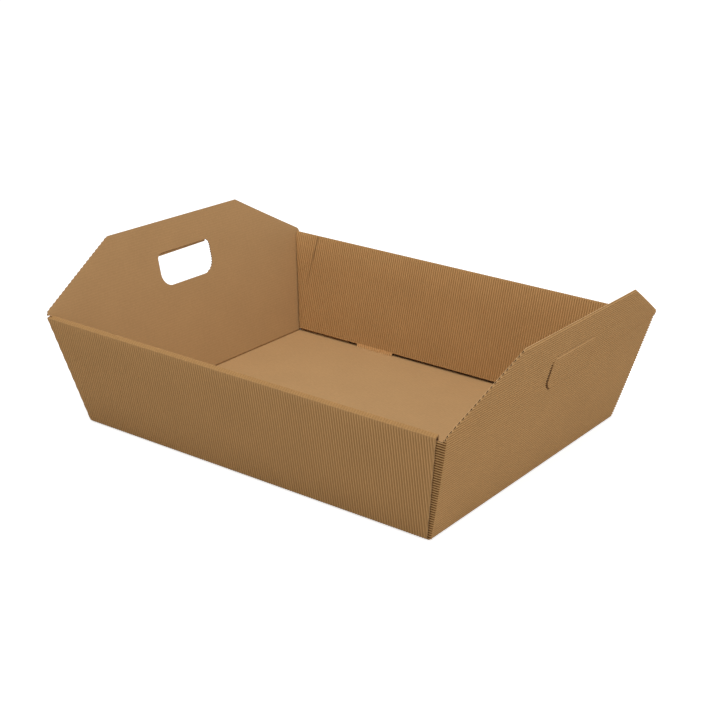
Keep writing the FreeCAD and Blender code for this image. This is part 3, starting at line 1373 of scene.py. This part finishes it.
@dataclass(frozen=True)
class Studio:
    """Pale floor, soft light and the camera of the photograph."""

    focal_px: float = 1469.69
    frame_px: float = 720.0
    azimuth: float = 35.006
    elevation: float = 21.241
    roll: float = 1.691
    camera_mm: tuple = (582.74, -828.04, 440.77)
    sky: float = 0.5
    top_place: tuple = (0.22, -0.36, 1.6)
    top_size: float = 1.6
    top_watts: float = 19.5
    side_place: tuple = (1.6, -0.3, 0.65)
    side_size: float = 1.0
    side_watts: float = 4.2
    table_reach: float = 3.0
    table_level: float = -0.0003
    table_tone: float = 0.62
    table_lift: float = 0.72

    def build(self) -> None:
        """Builds the floor, the light and the camera."""
        self._world()
        self._table()
        self._lamp("top_light", self.top_place, self.top_size, self.top_watts)
        self._lamp("side_light", self.side_place, self.side_size, self.side_watts)
        self._camera()

    @staticmethod
    def _white_to_camera(kit: NodeKit) -> bpy.types.NodeSocket:
        """Finds the rays that show the background itself: camera, glossy and transmission.

        Args:
            kit: Adds the nodes.

        Returns:
            1 for these rays and 0 for others.
        """
        path = kit.nodes.new("ShaderNodeLightPath")
        total = path.outputs["Is Camera Ray"]
        for name in ("Is Glossy Ray", "Is Transmission Ray"):
            total = kit.math("MAXIMUM", total, path.outputs[name])
        return total

    def _world(self) -> None:
        """White sky at the strength of the soft light, and plain white where it is seen."""
        world = bpy.data.worlds.new("studio")
        bpy.context.scene.world = world
        world.use_nodes = True
        kit = NodeKit(world.node_tree.nodes, world.node_tree.links)
        background = kit.nodes["Background"]
        kit.feed(background.inputs["Color"], (1, 1, 1, 1))
        strength = kit.ranged(self._white_to_camera(kit), self.sky, 1.0)
        kit.feed(background.inputs["Strength"], strength)

    def _table(self) -> None:
        """White surface that the tray stands on, which shows its shadow."""
        reach, level = self.table_reach, self.table_level
        mesh = bpy.data.meshes.new("table")
        corners = [(-reach, -reach, level), (reach, -reach, level), (reach, reach, level),
                   (-reach, reach, level)]
        mesh.from_pydata(corners, [], [(0, 1, 2, 3)])
        table = bpy.data.objects.new("table", mesh)
        bpy.context.collection.objects.link(table)
        material = bpy.data.materials.new("table_white")
        material.use_nodes = True
        kit = NodeKit(material.node_tree.nodes, material.node_tree.links)
        lift = kit.math("MULTIPLY", self._white_to_camera(kit), self.table_lift)
        tone = (self.table_tone,) * 3
        for name, value in (("Base Color", (*tone, 1)), ("Roughness", 1.0),
                            ("Specular IOR Level", 0.0), ("Emission Color", (1, 1, 1, 1)),
                            ("Emission Strength", lift)):
            kit.feed(kit.nodes["Principled BSDF"].inputs[name], value)
        mesh.materials.append(material)

    def _lamp(self, name: str, place: tuple, size: float, watts: float) -> None:
        """Adds a square soft lamp that faces the tray.

        Args:
            name: Name of the lamp.
            place: Its place in metres.
            size: Length of its side in metres.
            watts: Its power.
        """
        light = bpy.data.lights.new(name, "AREA")
        light.size = size
        light.energy = watts
        lamp = bpy.data.objects.new(name, light)
        lamp.location = place
        lamp.rotation_euler = (-Vector(place)).to_track_quat("-Z", "Y").to_euler()
        bpy.context.collection.objects.link(lamp)

    def _camera(self) -> None:
        """Camera at the photograph's viewing angle."""
        azimuth, elevation = math.radians(self.azimuth), math.radians(self.elevation)
        back = Vector((math.sin(azimuth) * math.cos(elevation),
                       -math.cos(azimuth) * math.cos(elevation), math.sin(elevation)))
        right = (-back).cross(Vector((0, 0, 1))).normalized()
        up = right.cross(-back)
        cosine, sine = math.cos(math.radians(self.roll)), math.sin(math.radians(self.roll))
        turned_right = right * cosine + up * sine
        turned_up = up * cosine - right * sine
        data = bpy.data.cameras.new("camera")
        data.sensor_width = 36.0
        data.lens = self.focal_px / self.frame_px * data.sensor_width
        camera = bpy.data.objects.new("camera", data)
        turn = Matrix((turned_right, turned_up, back)).transposed().to_4x4()
        camera.matrix_world = Matrix.Translation(Vector(self.camera_mm) * MM) @ turn
        bpy.context.collection.objects.link(camera)
        bpy.context.scene.camera = camera


def main() -> None:
    """Builds every part of the sheet, the flaps and the studio."""
    logging.basicConfig(level=logging.INFO, format="%(message)s")
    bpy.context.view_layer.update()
    bpy.context.scene.view_settings.view_transform = "Standard"
    tray = Tray()
    materials = CardFinishes().materials()
    FloorPanel(tray, materials).build()
    for side in Side:
        LongWall(tray, materials, side).build()
    for end in End:
        EndWall(tray, materials, end).build()
        HandFlap(tray, materials, end).build()
    Studio().build()


if __name__ == "__main__":
    main()
